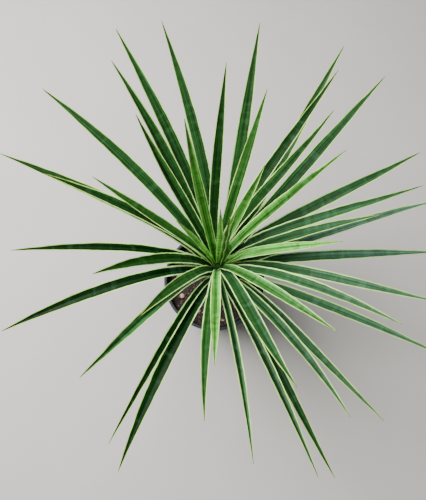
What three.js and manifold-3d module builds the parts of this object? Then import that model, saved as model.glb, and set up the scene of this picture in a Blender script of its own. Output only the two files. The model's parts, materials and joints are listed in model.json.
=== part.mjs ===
// A young variegated Spanish bayonet, Yucca aloifolia, in a plastic nursery pot.
// Millimetres, +Z up. The origin is the middle of the pot's underside, and +Y points away from
// the side that the plant is usually seen from.

import * as THREE from 'three';
import { mergeVertices } from 'three/addons/utils/BufferGeometryUtils.js';
import Module from 'manifold-3d';

const wasm = await Module();
wasm.setup();

// Clearance between pieces that rest on each other
const GAP = 0.3;

// Pot: a thin tapered wall with a rolled lip, and drainage notches round the foot
const POT_SIDES = 64;
const POT_HEIGHT = 240;
const POT_RIM_RADIUS = 140;
const POT_FOOT_RADIUS = 110;
const POT_WALL = 2.2;
const POT_FLOOR = 3;
const LIP_WIDTH = 8;
const LIP_DROP = 13;
const LIP_THICKNESS = 1.8;
const EDGE_ROUNDING = 1.2;
const FOOT_BEVEL = 3;
const DRAIN_NOTCHES = 8;
const DRAIN_RADIUS = 8;
const DRAIN_HEIGHT = 10;
const DRAIN_SIDES = 12;

// Potting mix: its surface sinks a little towards the wall and is lumpy all over
const SOIL_LEVEL = 214;
const SOIL_EDGE_SINK = 5;
const SOIL_LUMP = 1.2;
const SOIL_RINGS = 8;
const SOIL_CLEARANCE = 2 * GAP;
const STEM_DEPTH = 58;

// Stem: straight in the mix, ringed with leaf scars above it, and tapering inside the rosette
const STEM_SIDES = 24;
const STEM_OFFSET = 8;
const STEM_RADIUS = 20;
const CROWN_START = 310;
const CROWN_TOP = 405;
const APEX_RADIUS = 6;
const APEX_HEIGHT = 410;
const SCAR_STEP = 9;
const SCAR_RELIEF = 0.7;
const BUTT_BEVEL = 4;

// A pale pebble that lies on the mix: its place, its three half sizes and its turn in radians
const PEBBLE = { x: -90, y: -42, size: [8, 6.5, 4.5], turn: 0.6, dent: 0.1 };

// Leaves: roots climb the stem in this order, from the oldest to the youngest
const FIRST_ROOT = 318;
const LAST_ROOT = 405;
const FIRST_STEEPNESS = 70;
const LAST_STEEPNESS = 86;
const LEAF_STATIONS = [0, 0.06, 0.13, 0.21, 0.3, 0.4, 0.5, 0.6, 0.7, 0.79, 0.87, 0.94, 1];
const ROOT_THICKNESS = 2.2;
const TIP_THICKNESS = 0.9;
const EDGE_THICKNESS = 0.8;
const CHANNEL_DEPTH = 0.13;

// Shape of every leaf's middle line: how far it keeps its first direction, where its last control
// point lies along the way to the tip, and how much of the arch is left there
const FIRST_REACH = 0.3;
const LAST_CONTROL = 0.58;
const LAST_ARCH = 0.45;

// Width along a leaf, as [place from root to tip, share of the full width]
const LEAF_WIDTHS = [
  [0, 0.4], [0.12, 0.46], [0.3, 0.8], [0.45, 0.98], [0.58, 1], [0.7, 0.92], [0.8, 0.74],
  [0.87, 0.54], [0.94, 0.29], [1, 0.045],
];

// One row for each leaf, from the lowest root to the highest: the way it points in degrees, reach
// of its tip from the stem's axis, height of its tip, sideways sway near the root, sideways sway
// near the tip, width, and twist in degrees
const LEAVES = [
  [-63, 504, 475, 24, -1, 21, 8],
  [1.5, 503, 477, 7, 3, 26, -10],
  [-114, 470, 513, -6, -17, 28.5, 12],
  [-67.5, 466, 554, 3, 10, 18.5, -6],
  [-160.5, 493, 481, -27, -31, 26, -6],
  [12.5, 483, 562, -17, 4, 24, -14],
  [-48.5, 443, 591, 27, 5, 19, 10],
  [-117.5, 413, 611, -19, -9, 16, -14],
  [156, 526, 563, -23, -18, 25, -4],
  [-25.5, 498, 518, -7, 9, 21, 9],
  [25, 472, 594, 25, -1, 26, 7],
  [116.5, 463, 706, -18, -26, 27, -14],
  [57, 477, 675, -20, -6, 25, 9],
  [-131.5, 343, 684, -30, -12, 24, 12],
  [-16.5, 432, 612, 30, 8, 22, 10],
  [-179, 428, 562, -24, -28, 21, 2],
  [139, 487, 645, -9, -28, 27, -8],
  [-82, 399, 629, -3, 14, 16, -10],
  [105, 444, 712, -16, -25, 26.5, 14],
  [43.5, 451, 695, -7, -7, 27, -12],
  [-56.5, 382, 669, -3, 28, 21, -9],
  [79, 432, 710, -14, -4, 27, 14],
  [158, 392, 602, -20, -23, 22, -9],
  [-29, 354, 678, 10, 29, 22, -6],
  [123.5, 356, 755, 5, -23, 24, -7],
  [14, 407, 647, 36, 3, 23, -6],
  [72, 320, 664, 14, 3, 23, 3],
  [-163.5, 249, 621, -20, -31, 26, 10],
  [-94.5, 328, 642, -5, -19, 21, 7],
  [6.5, 304, 658, 6, 13, 22, -6],
  [53.5, 388, 711, 31, 5, 24, -11],
  [126, 265, 711, -6, 9, 22, -10],
  [-136, 209, 589, -10, -21, 23, -10],
  [-68.5, 289, 780, 12, -6, 24, 9],
  [45, 294, 733, 40, -3, 22, -6],
  [-4, 229, 652, 14, 6, 21, 10],
  [87.5, 323, 718, 22, 13, 22.5, 7],
  [-92, 238, 656, -3, -3, 21, 5],
  [153.5, 281, 631, -1, 3, 19, -4],
  [24, 218, 802, 11, 4, 21, -10],
  [-49, 255, 783, -2, 6, 20, 8],
  [112, 153, 808, 4, 6, 20, -13],
  [54, 141, 701, 16, 0, 20, 13],
  [-3, 61, 548, -3, -2, 11, 4],
  [165.5, 82, 664, 0, 0, 14, -6],
  [86.5, 32, 692, 0, -4, 13, 4],
  [-31.5, 28, 797, 3, 2, 12, -6],
  [39.5, 26, 698, -3, -2, 12, 8],
];

// Leaves of the last flush, counted from 1, which are still yellow-green
const YOUNG_LEAVES = [36, 38, 40, 41, 42, 43, 44, 45, 46, 47, 48];

const COLOURS = {
  pot: { color: 0x1b1d20, roughness: 0.5 },
  soil: { color: 0x3a271c, roughness: 0.95 },
  stem: { color: 0x7a6848, roughness: 0.85 },
  pebble: { color: 0xb89b7c, roughness: 0.8 },
  oldLeaf: { color: 0x1f5a32, roughness: 0.45 },
  youngLeaf: { color: 0x5f9a2e, roughness: 0.4 },
};

const plant = new THREE.Group();

function addPiece(name, geometry, { color, roughness }) {
  const material = new THREE.MeshStandardMaterial({ color, roughness, metalness: 0 });
  const mesh = new THREE.Mesh(geometry, material);
  mesh.name = name;
  plant.add(mesh);
  return mesh;
}

function meshFrom(points, triangles) {
  const geometry = new THREE.BufferGeometry();
  geometry.setAttribute('position', new THREE.Float32BufferAttribute(points.flat(), 3));
  geometry.setIndex(triangles.flat());
  geometry.computeVertexNormals();
  return geometry;
}

// A lathe about the vertical axis, from [radius, height] pairs that start and end on that axis
function turned(profile, sides) {
  const outline = profile.map(([radius, height]) => new THREE.Vector2(radius, height));
  const geometry = new THREE.LatheGeometry(outline, sides);
  geometry.rotateX(Math.PI / 2);
  geometry.deleteAttribute('normal');
  geometry.deleteAttribute('uv');
  return mergeVertices(geometry, 1e-4);
}

function toSolid(geometry) {
  const bare = geometry.clone();
  bare.deleteAttribute('normal');
  bare.deleteAttribute('uv');
  const merged = mergeVertices(bare, 1e-4);
  const mesh = new wasm.Mesh({
    numProp: 3,
    vertProperties: new Float32Array(merged.attributes.position.array),
    triVerts: new Uint32Array(merged.index.array),
  });
  return new wasm.Manifold(mesh);
}

function fromSolid(solid) {
  const mesh = solid.getMesh();
  const geometry = new THREE.BufferGeometry();
  geometry.setAttribute('position', new THREE.BufferAttribute(mesh.vertProperties, 3));
  geometry.setIndex(new THREE.BufferAttribute(mesh.triVerts, 1));
  geometry.computeVertexNormals();
  return geometry;
}

// The pot's wall leans out evenly from foot to rim
function potOuterRadius(height) {
  const top = POT_RIM_RADIUS - LIP_WIDTH + POT_WALL;
  return POT_FOOT_RADIUS + (top - POT_FOOT_RADIUS) * (height / POT_HEIGHT);
}

function potInnerRadius(height) {
  return potOuterRadius(height) - POT_WALL;
}

function makePot() {
  const lipBottom = POT_HEIGHT - LIP_DROP;
  const lipUnderside = POT_HEIGHT - LIP_THICKNESS;
  const lipInside = POT_RIM_RADIUS - LIP_THICKNESS;
  const body = toSolid(turned([
    [0, 0],
    [POT_FOOT_RADIUS - FOOT_BEVEL, 0],
    [potOuterRadius(FOOT_BEVEL), FOOT_BEVEL],
    [potOuterRadius(lipUnderside), lipUnderside],
    [lipInside, lipUnderside],
    [lipInside, lipBottom],
    [POT_RIM_RADIUS, lipBottom],
    [POT_RIM_RADIUS, POT_HEIGHT - EDGE_ROUNDING],
    [POT_RIM_RADIUS - EDGE_ROUNDING, POT_HEIGHT],
    [potInnerRadius(POT_HEIGHT) + EDGE_ROUNDING, POT_HEIGHT],
    [potInnerRadius(POT_HEIGHT - EDGE_ROUNDING), POT_HEIGHT - EDGE_ROUNDING],
    [potInnerRadius(POT_FLOOR), POT_FLOOR],
    [0, POT_FLOOR],
  ], POT_SIDES));

  let pot = body;
  for (let i = 0; i < DRAIN_NOTCHES; i += 1) {
    const turn = ((i + 0.5) / DRAIN_NOTCHES) * 2 * Math.PI;
    const notch = new THREE.CylinderGeometry(
      DRAIN_RADIUS,
      DRAIN_RADIUS,
      2 * DRAIN_HEIGHT,
      DRAIN_SIDES,
    );
    notch.rotateX(Math.PI / 2);
    notch.translate(POT_FOOT_RADIUS * Math.cos(turn), POT_FOOT_RADIUS * Math.sin(turn), 0);
    pot = pot.subtract(toSolid(notch));
  }
  addPiece('pot', fromSolid(pot), COLOURS.pot);
}

// Surface of the potting mix: a few crossing waves on a shallow dome, level where the pebble lies
function soilHeight(x, y) {
  const distance = Math.hypot(x, y) / POT_RIM_RADIUS;
  const lumps = Math.sin(0.11 * x + 0.4) * Math.cos(0.13 * y - 0.8)
    + 0.6 * Math.sin(0.23 * x - 0.17 * y + 1.9)
    + 0.4 * Math.cos(0.31 * x + 0.27 * y);
  const nest = Math.hypot(x - PEBBLE.x, y - PEBBLE.y) / (2 * PEBBLE.size[0]);
  const calm = Math.min(1, nest * nest * nest);
  return SOIL_LEVEL - SOIL_EDGE_SINK * distance * distance + SOIL_LUMP * lumps * calm;
}

function makeSoil() {
  const holeRadius = STEM_RADIUS + GAP + 0.05;
  const holeFloor = SOIL_LEVEL - STEM_DEPTH;
  const bottom = POT_FLOOR + GAP;
  const points = [];
  const triangles = [];
  const rings = [];

  function addRing(place) {
    const start = points.length;
    for (let i = 0; i < POT_SIDES; i += 1) {
      const turn = (i / POT_SIDES) * 2 * Math.PI;
      points.push(place(Math.sin(turn), -Math.cos(turn)));
    }
    rings.push(start);
  }

  // The rings run up the stem's hole, out over the surface, and down the wall
  addRing((x, y) => [STEM_OFFSET + holeRadius * x, holeRadius * y, holeFloor]);
  for (let i = 0; i <= SOIL_RINGS; i += 1) {
    const share = i / SOIL_RINGS;
    addRing((x, y) => {
      const edge = potInnerRadius(SOIL_LEVEL - SOIL_EDGE_SINK) - SOIL_CLEARANCE;
      const px = THREE.MathUtils.lerp(STEM_OFFSET + holeRadius * x, edge * x, share);
      const py = THREE.MathUtils.lerp(holeRadius * y, edge * y, share);
      return [px, py, soilHeight(px, py)];
    });
  }
  const foot = potInnerRadius(bottom) - SOIL_CLEARANCE;
  addRing((x, y) => [foot * x, foot * y, bottom]);

  for (let ring = 1; ring < rings.length; ring += 1) {
    for (let i = 0; i < POT_SIDES; i += 1) {
      const next = (i + 1) % POT_SIDES;
      const a = rings[ring - 1] + i;
      const b = rings[ring - 1] + next;
      const c = rings[ring] + next;
      const d = rings[ring] + i;
      triangles.push([a, d, c], [a, c, b]);
    }
  }
  const holeCentre = points.push([STEM_OFFSET, 0, holeFloor]) - 1;
  const footCentre = points.push([0, 0, bottom]) - 1;
  for (let i = 0; i < POT_SIDES; i += 1) {
    const next = (i + 1) % POT_SIDES;
    triangles.push([holeCentre, rings[0] + i, rings[0] + next]);
    triangles.push([footCentre, rings.at(-1) + next, rings.at(-1) + i]);
  }
  addPiece('soil', meshFrom(points, triangles), COLOURS.soil);
}

function stemRadius(height) {
  const climb = THREE.MathUtils.clamp((height - CROWN_START) / (CROWN_TOP - CROWN_START), 0, 1);
  return THREE.MathUtils.lerp(STEM_RADIUS, APEX_RADIUS, climb);
}

function makeStem() {
  const bottom = SOIL_LEVEL - STEM_DEPTH + GAP;
  const bareTop = CROWN_START - SCAR_STEP;
  const profile = [
    [0, bottom],
    [STEM_RADIUS - BUTT_BEVEL / 2, bottom],
    [STEM_RADIUS, bottom + BUTT_BEVEL],
  ];
  profile.push([STEM_RADIUS, SOIL_LEVEL + SCAR_STEP]);
  for (let z = SOIL_LEVEL + 2 * SCAR_STEP; z < bareTop; z += SCAR_STEP) {
    profile.push([STEM_RADIUS - SCAR_RELIEF, z - SCAR_STEP * 0.4], [STEM_RADIUS, z]);
  }
  profile.push([STEM_RADIUS, CROWN_START], [APEX_RADIUS, CROWN_TOP]);
  profile.push([APEX_RADIUS * 0.6, APEX_HEIGHT - 1], [0, APEX_HEIGHT]);
  const stem = addPiece('stem', turned(profile, STEM_SIDES), COLOURS.stem);
  stem.geometry.computeVertexNormals();
  stem.position.x = STEM_OFFSET;
}

function makePebble() {
  const [length, width, height] = PEBBLE.size;
  const geometry = new THREE.SphereGeometry(1, 10, 7);
  geometry.deleteAttribute('normal');
  geometry.deleteAttribute('uv');
  geometry.rotateX(Math.PI / 2);
  const stone = mergeVertices(geometry, 1e-4);
  const place = stone.attributes.position;
  for (let i = 0; i < place.count; i += 1) {
    const x = place.getX(i);
    const y = place.getY(i);
    const dent = 1 - PEBBLE.dent * Math.sin(3 * x + 2 * y + 1);
    place.setXYZ(i, length * x * dent, width * y * dent, height * place.getZ(i));
  }
  stone.computeVertexNormals();
  const pebble = addPiece('pebble', stone, COLOURS.pebble);
  const seat = soilHeight(PEBBLE.x, PEBBLE.y) + GAP;
  pebble.position.set(PEBBLE.x, PEBBLE.y, seat + height);
  pebble.rotation.z = PEBBLE.turn;
}

// The value at one place, read along the straight lines between a list's [place, value] pairs
function readBetween(list, place) {
  const last = list.length - 2;
  let i = 0;
  while (i < last && list[i + 1][0] < place) {
    i += 1;
  }
  const [from, start] = list[i];
  const [to, end] = list[i + 1];
  return THREE.MathUtils.lerp(start, end, (place - from) / (to - from));
}

// The middle line of a leaf: steep where it leaves the stem, then arching out to its tip
function leafLine([azimuth, reach, tipHeight, rootSway, tipSway], index) {
  const age = index / (LEAVES.length - 1);
  const rootHeight = THREE.MathUtils.lerp(FIRST_ROOT, LAST_ROOT, age);
  const steepness = THREE.MathUtils.lerp(FIRST_STEEPNESS, LAST_STEEPNESS, age);
  const turn = THREE.MathUtils.degToRad(azimuth);
  const climb = THREE.MathUtils.degToRad(steepness);
  const out = new THREE.Vector3(Math.cos(turn), Math.sin(turn), 0);
  const side = new THREE.Vector3(-Math.sin(turn), Math.cos(turn), 0);
  const seat = stemRadius(rootHeight) + GAP + ROOT_THICKNESS / 2;
  const root = out.clone().multiplyScalar(seat).setZ(rootHeight);
  const tip = out.clone().multiplyScalar(reach).setZ(tipHeight);
  const span = tip.clone().sub(root);
  const firstReach = FIRST_REACH * span.length();
  const first = out.clone().multiplyScalar(Math.cos(climb)).setZ(Math.sin(climb));
  const rise = span.clone().cross(side).normalize();
  const arch = firstReach * first.dot(rise);
  const nearRoot = root.clone()
    .addScaledVector(first, firstReach)
    .addScaledVector(side, rootSway);
  const nearTip = root.clone()
    .addScaledVector(span, LAST_CONTROL)
    .addScaledVector(rise, LAST_ARCH * arch)
    .addScaledVector(side, tipSway);
  return { line: new THREE.CubicBezierCurve3(root, nearRoot, nearTip, tip), side };
}

function makeLeaf(row, index) {
  const [width, twist] = row.slice(5);
  const { line, side } = leafLine(row, index);
  const points = [];
  const triangles = [];

  for (const place of LEAF_STATIONS) {
    const centre = line.getPoint(place);
    const along = line.getTangent(place);
    const roll = THREE.MathUtils.degToRad(twist) * place;
    const across = side.clone().addScaledVector(along, -side.dot(along)).normalize();
    across.applyAxisAngle(along, roll);
    const up = along.clone().cross(across);
    const half = 0.5 * width * readBetween(LEAF_WIDTHS, place);
    const lift = CHANNEL_DEPTH * 2 * half;
    const middle = 0.5 * THREE.MathUtils.lerp(ROOT_THICKNESS, TIP_THICKNESS, place);
    const edge = 0.5 * EDGE_THICKNESS;
    const section = [
      [-half, lift + edge], [0, middle], [half, lift + edge],
      [-half, lift - edge], [0, -middle], [half, lift - edge],
    ];
    for (const [sideways, upwards] of section) {
      const point = centre.clone().addScaledVector(across, sideways).addScaledVector(up, upwards);
      points.push([STEM_OFFSET + point.x, point.y, point.z]);
    }
  }

  // Both faces are cut along the same diagonals, so the blade keeps its thickness everywhere
  const quad = (a, b, c, d) => triangles.push([a, b, c], [a, c, d]);
  const lastStation = LEAF_STATIONS.length - 1;
  for (let i = 0; i < lastStation; i += 1) {
    const near = 6 * i;
    const far = near + 6;
    for (const column of [0, 1]) {
      quad(near + column, far + column, far + column + 1, near + column + 1);
      const under = column + 3;
      triangles.push([near + under, far + under + 1, far + under]);
      triangles.push([near + under, near + under + 1, far + under + 1]);
    }
    quad(near + 3, far + 3, far, near);
    quad(near + 2, far + 2, far + 5, near + 5);
  }
  const end = 6 * lastStation;
  quad(0, 1, 4, 3);
  quad(1, 2, 5, 4);
  quad(end + 3, end + 4, end + 1, end);
  quad(end + 4, end + 5, end + 2, end + 1);

  const number = index + 1;
  const name = `leaf_${String(number).padStart(2, '0')}`;
  const colours = YOUNG_LEAVES.includes(number) ? COLOURS.youngLeaf : COLOURS.oldLeaf;
  addPiece(name, meshFrom(points, triangles), colours);
}

makePot();
makeSoil();
makeStem();
makePebble();
LEAVES.forEach(makeLeaf);

export default plant;
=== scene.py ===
import json
import math
import random

import bmesh
import bpy
import numpy as np
from mathutils import Matrix, Vector, noise
from mathutils.bvhtree import BVHTree


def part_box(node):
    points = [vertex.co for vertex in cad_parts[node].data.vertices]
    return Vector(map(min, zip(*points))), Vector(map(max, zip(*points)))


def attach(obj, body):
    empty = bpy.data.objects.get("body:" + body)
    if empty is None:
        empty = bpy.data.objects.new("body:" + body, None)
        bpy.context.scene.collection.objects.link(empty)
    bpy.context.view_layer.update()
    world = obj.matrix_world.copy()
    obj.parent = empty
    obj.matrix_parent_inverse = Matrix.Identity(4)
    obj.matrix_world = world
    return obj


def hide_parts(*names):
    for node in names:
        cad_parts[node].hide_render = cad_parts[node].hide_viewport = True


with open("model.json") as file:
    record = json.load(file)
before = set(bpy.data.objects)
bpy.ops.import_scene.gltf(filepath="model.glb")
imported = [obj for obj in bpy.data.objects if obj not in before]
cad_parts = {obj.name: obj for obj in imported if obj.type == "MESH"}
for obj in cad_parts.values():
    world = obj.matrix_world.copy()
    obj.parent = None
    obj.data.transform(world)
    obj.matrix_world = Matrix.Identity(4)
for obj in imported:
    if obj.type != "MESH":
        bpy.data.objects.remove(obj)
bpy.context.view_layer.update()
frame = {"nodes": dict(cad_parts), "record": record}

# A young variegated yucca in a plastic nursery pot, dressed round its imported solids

bl_info = {
    "name": "Variegated Yucca in a Nursery Pot",
    "version": (1, 0, 0),
    "blender": (4, 5, 0),
    "location": "View3D > Sidebar > Yucca",
    "description": "Dresses a potted yucca with channelled blades, a ringed stem and a bark mix",
    "category": "Add Mesh",
}

MM = 0.001
TOUCHING = 0.001 * MM
NODES = frame["nodes"]
SLOT_OF = {part["node"]: part["material_slot"] for part in frame["record"]["subparts"]}
LEAVES = sorted(name for name in NODES if name.startswith("leaf_"))

# Places read from the frame
_, POT_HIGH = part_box("pot")
SOIL_LOW, SOIL_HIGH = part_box("soil")
STEM_LOW, STEM_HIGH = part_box("stem")
POT_RIM_RADIUS = POT_HIGH.x
POT_HEIGHT = POT_HIGH.z
STEM_X = (STEM_LOW.x + STEM_HIGH.x) / 2
STEM_RADIUS = STEM_HIGH.y


# Geometry helpers

def mesh_object(name, points, faces, smooth=True):
    """A linked mesh object from points and faces, shaded smooth where asked."""
    mesh = bpy.data.meshes.new(name)
    mesh.from_pydata([tuple(p) for p in points], [], [tuple(f) for f in faces])
    mesh.validate()
    mesh.update()
    if smooth:
        mesh.shade_smooth()
    else:
        mesh.shade_flat()
    return placed(name, mesh)


def placed(name, data):
    """A new object in the scene that holds a mesh, a light or a camera."""
    made = bpy.data.objects.new(name, data)
    bpy.context.scene.collection.objects.link(made)
    return made


def dress(piece, material, slot, *nodes):
    """Gives a piece its material, ties it to the body and hides the imported nodes it stands for. The
    slot is not used.
    """
    piece.data.materials.clear()
    piece.data.materials.append(material)
    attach(piece, "root")
    if nodes:
        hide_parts(*nodes)
    return piece


def store(piece, name, values):
    """Keeps one vector for each point of a mesh, for its material to read."""
    layer = piece.data.attributes.new(name, "FLOAT_VECTOR", "POINT")
    layer.data.foreach_set("vector", np.asarray(values, dtype=np.float32).ravel())


def ring_faces(rings, sides):
    """Quads that join closed rings of points, one ring after another."""
    faces = []
    for ring in range(rings - 1):
        for side in range(sides):
            a = ring * sides + side
            b = ring * sides + (side + 1) % sides
            faces.append((a, b, b + sides, a + sides))
    return faces


def capped_faces(rings, sides):
    """Faces of a loft whose last two points are the middles of its first and its last ring."""
    faces = ring_faces(rings, sides)
    last = (rings - 1) * sides
    start_middle, end_middle = rings * sides, rings * sides + 1
    for i in range(sides):
        j = (i + 1) % sides
        faces.append((start_middle, j, i))
        faces.append((end_middle, last + i, last + j))
    return faces


def turned_round(faces):
    """The same faces, looking the other way."""
    return [tuple(reversed(face)) for face in faces]


def join(points, faces, more_points, more_faces):
    """Adds the points and faces of one shape to those of another."""
    start = len(points)
    points.extend(more_points)
    faces.extend(tuple(corner + start for corner in face) for face in more_faces)


def circle(radius, height, sides, x=0.0):
    """Points round a level circle."""
    turns = [2 * math.pi * i / sides for i in range(sides)]
    return [(x + radius * math.cos(turn), radius * math.sin(turn), height) for turn in turns]


def turned_shell(outline, sides):
    """Points and faces of a shape turned about +Z, from (radius, height) pairs on its outline."""
    points, faces, rings = [], [], []
    for radius, height in outline:
        start = len(points)
        if radius < TOUCHING:
            points.append((0.0, 0.0, height))
        else:
            points += circle(radius, height, sides)
        rings.append(list(range(start, len(points))))
    for low, high in zip(rings, rings[1:]):
        for i in range(sides):
            j = (i + 1) % sides
            if len(low) == 1:
                faces.append((low[0], high[j], high[i]))
            elif len(high) == 1:
                faces.append((low[i], low[j], high[0]))
            else:
                faces.append((low[i], low[j], high[j], high[i]))
    return points, faces


def rounded(corners, radius, steps=4):
    """An outline whose inner corners are replaced by short arcs."""
    outline = [corners[0]]
    for before, corner, after in zip(corners, corners[1:], corners[2:]):
        corner = Vector(corner)
        back = Vector(before) - corner
        ahead = Vector(after) - corner
        reach = min(radius, 0.45 * back.length, 0.45 * ahead.length)
        start = corner + back.normalized() * reach
        end = corner + ahead.normalized() * reach
        for step in range(steps + 1):
            t = step / steps
            point = start * (1 - t) ** 2 + corner * 2 * t * (1 - t) + end * t ** 2
            outline.append((point.x, point.y))
    outline.append(corners[-1])
    return outline


def smooth_through(knots, values, places):
    """Values read at new places along a smooth curve through uneven knots."""
    knots = np.asarray(knots)
    values = np.asarray(values, dtype=float)
    flat = values.ndim == 1
    if flat:
        values = values[:, None]
    slopes = np.gradient(values, knots, axis=0)
    index = np.clip(np.searchsorted(knots, places) - 1, 0, len(knots) - 2)
    width = (knots[index + 1] - knots[index])[:, None]
    t = ((places - knots[index]) / width[:, 0])[:, None]
    start, end = values[index], values[index + 1]
    first, last = slopes[index] * width, slopes[index + 1] * width
    result = (
        (2 * t ** 3 - 3 * t ** 2 + 1) * start
        + (t ** 3 - 2 * t ** 2 + t) * first
        + (3 * t ** 2 - 2 * t ** 3) * end
        + (t ** 3 - t ** 2) * last
    )
    return result[:, 0] if flat else result


def unit(vectors):
    """Vectors of length one."""
    return vectors / np.linalg.norm(vectors, axis=-1, keepdims=True)


def surface_of(node):
    """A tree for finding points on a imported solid."""
    mesh = NODES[node].data
    points = [v.co.copy() for v in mesh.vertices]
    faces = [tuple(p.vertices) for p in mesh.polygons]
    return BVHTree.FromPolygons(points, faces)


# Shader helpers

def plug(tree, socket, value):
    """Links a socket to another, or sets its value."""
    if isinstance(value, bpy.types.NodeSocket):
        tree.links.new(value, socket)
    else:
        socket.default_value = value


def add(tree, kind, sockets=None, **settings):
    """A new node with its settings, and with each named input linked or set."""
    made = tree.nodes.new(kind)
    for name, value in settings.items():
        setattr(made, name, value)
    for name, value in (sockets or {}).items():
        plug(tree, made.inputs[name], value)
    return made


def maths(tree, operation, first, second=0.0, clamp=False):
    """The result of one sum, kept between 0 and 1 where asked."""
    made = add(tree, "ShaderNodeMath", {0: first, 1: second}, operation=operation)
    made.use_clamp = clamp
    return made.outputs[0]


def times(tree, first, second):
    """The product of two numbers."""
    return maths(tree, "MULTIPLY", first, second)


def blend(tree, amount, first, second, mode="MIX"):
    """A colour part of the way from one colour to another."""
    made = add(tree, "ShaderNodeMix", {0: amount, 6: first, 7: second}, data_type="RGBA")
    made.blend_type = mode
    return made.outputs[2]


def shaded(tree, colour, gain):
    """A colour made darker or lighter by one number."""
    grey = add(tree, "ShaderNodeCombineColor", {"Red": gain, "Green": gain, "Blue": gain})
    return blend(tree, 1.0, colour, grey.outputs["Color"], "MULTIPLY")


def between(tree, value, low, high, to_low=0.0, to_high=1.0):
    """A smooth step of a value from one range to another."""
    sockets = {"Value": value, "From Min": low, "From Max": high,
               "To Min": to_low, "To Max": to_high}
    made = add(tree, "ShaderNodeMapRange", sockets, interpolation_type="SMOOTHSTEP")
    return made.outputs["Result"]


def grain(tree, vector, scale, detail=3.0, roughness=0.55):
    """Cloudy noise from 0 to 1."""
    sockets = {"Vector": vector, "Scale": scale, "Detail": detail, "Roughness": roughness}
    return add(tree, "ShaderNodeTexNoise", sockets).outputs["Fac"]


def stretched(tree, x, y, z):
    """A place for noise to read, from three numbers."""
    return add(tree, "ShaderNodeCombineXYZ", {"X": x, "Y": y, "Z": z}).outputs["Vector"]


def parts_of(tree, name):
    """The three numbers of a stored vector."""
    stored = add(tree, "ShaderNodeAttribute", attribute_name=name)
    split = add(tree, "ShaderNodeSeparateXYZ", {"Vector": stored.outputs["Vector"]})
    return split.outputs["X"], split.outputs["Y"], split.outputs["Z"]


def place_in_piece(tree):
    """Where a point lies in its own piece."""
    return add(tree, "ShaderNodeTexCoord").outputs["Object"]


def bump(tree, height, strength, distance):
    """A normal that follows a small relief."""
    sockets = {"Height": height, "Strength": strength, "Distance": distance}
    return add(tree, "ShaderNodeBump", sockets).outputs["Normal"]


def new_group(name, inputs, outputs):
    """An empty shader group with named sockets, and its two end nodes."""
    tree = bpy.data.node_groups.new(name, "ShaderNodeTree")
    for label, kind, value in inputs:
        socket = tree.interface.new_socket(label, in_out="INPUT", socket_type=kind)
        socket.default_value = value
    for label, kind in outputs:
        tree.interface.new_socket(label, in_out="OUTPUT", socket_type=kind)
    return tree, tree.nodes.new("NodeGroupInput"), tree.nodes.new("NodeGroupOutput")


GROUP_NAMES = {"mottle_group": "Mottle", "dust_group": "Dust", "fibre_group": "Fibres"}


def use_group(tree, build, sockets):
    """Places a shared group in a tree, building it the first time."""
    name = GROUP_NAMES[build.__name__]
    group = bpy.data.node_groups.get(name) or build(name)
    made = add(tree, "ShaderNodeGroup", node_tree=group)
    for label, value in sockets.items():
        plug(tree, made.inputs[label], value)
    return made.outputs


def new_material(name):
    """A material and its tree, which holds a bare Principled surface."""
    material = bpy.data.materials.new(name)
    material.use_nodes = True
    return material, material.node_tree


def finish_surface(tree, colour, roughness, normal=None, specular=0.5):
    """Gives the surface in a tree its colour, roughness, small relief and strength of reflection."""
    surface = tree.nodes["Principled BSDF"]
    plug(tree, surface.inputs["Base Color"], colour)
    plug(tree, surface.inputs["Roughness"], roughness)
    if normal:
        plug(tree, surface.inputs["Normal"], normal)
    surface.inputs["Specular IOR Level"].default_value = specular


def mottled(tree, colour, scale, strength):
    """A colour that drifts lighter and darker over its piece."""
    sockets = {"Colour": colour, "Vector": place_in_piece(tree), "Scale": scale, "Strength": strength}
    return use_group(tree, mottle_group, sockets)["Colour"]


def mottle_group(name):
    """A colour that drifts lighter and darker in soft patches of one size."""
    tree, start, end = new_group(
        name,
        [("Colour", "NodeSocketColor", (0.5, 0.5, 0.5, 1.0)),
         ("Vector", "NodeSocketVector", (0, 0, 0)),
         ("Scale", "NodeSocketFloat", 10.0),
         ("Strength", "NodeSocketFloat", 0.3)],
        [("Colour", "NodeSocketColor")],
    )
    patch = grain(tree, start.outputs["Vector"], start.outputs["Scale"], 4.0)
    value = between(tree, patch, 0.3, 0.7)
    drift = times(tree, maths(tree, "SUBTRACT", value, 0.5), start.outputs["Strength"])
    gain = maths(tree, "ADD", times(tree, drift, 2.0), 1.0)
    plug(tree, end.inputs["Colour"], shaded(tree, start.outputs["Colour"], gain))
    return tree


def dust_group(name):
    """Pale dust that settles in patches, and most of all on faces that look up."""
    tree, start, end = new_group(
        name,
        [("Colour", "NodeSocketColor", (0.1, 0.1, 0.1, 1.0)),
         ("Roughness", "NodeSocketFloat", 0.5),
         ("Dust Colour", "NodeSocketColor", (0.4, 0.35, 0.3, 1.0)),
         ("Vector", "NodeSocketVector", (0, 0, 0)),
         ("Scale", "NodeSocketFloat", 20.0),
         ("Amount", "NodeSocketFloat", 0.3)],
        [("Colour", "NodeSocketColor"), ("Roughness", "NodeSocketFloat")],
    )
    given = start.outputs
    facing = add(tree, "ShaderNodeNewGeometry").outputs["Normal"]
    upward = add(tree, "ShaderNodeSeparateXYZ", {"Vector": facing}).outputs["Z"]
    shelf = between(tree, upward, 0.0, 1.0, 0.35, 1.0)
    cloud = grain(tree, given["Vector"], given["Scale"], 6.0, 0.65)
    patch = between(tree, cloud, 0.42, 0.72)
    amount = maths(tree, "MULTIPLY", times(tree, shelf, patch), given["Amount"], True)
    plug(tree, end.inputs["Colour"], blend(tree, amount, given["Colour"], given["Dust Colour"]))
    rougher = times(tree, amount, 0.4)
    plug(tree, end.inputs["Roughness"], maths(tree, "ADD", given["Roughness"], rougher, True))
    return tree


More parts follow.
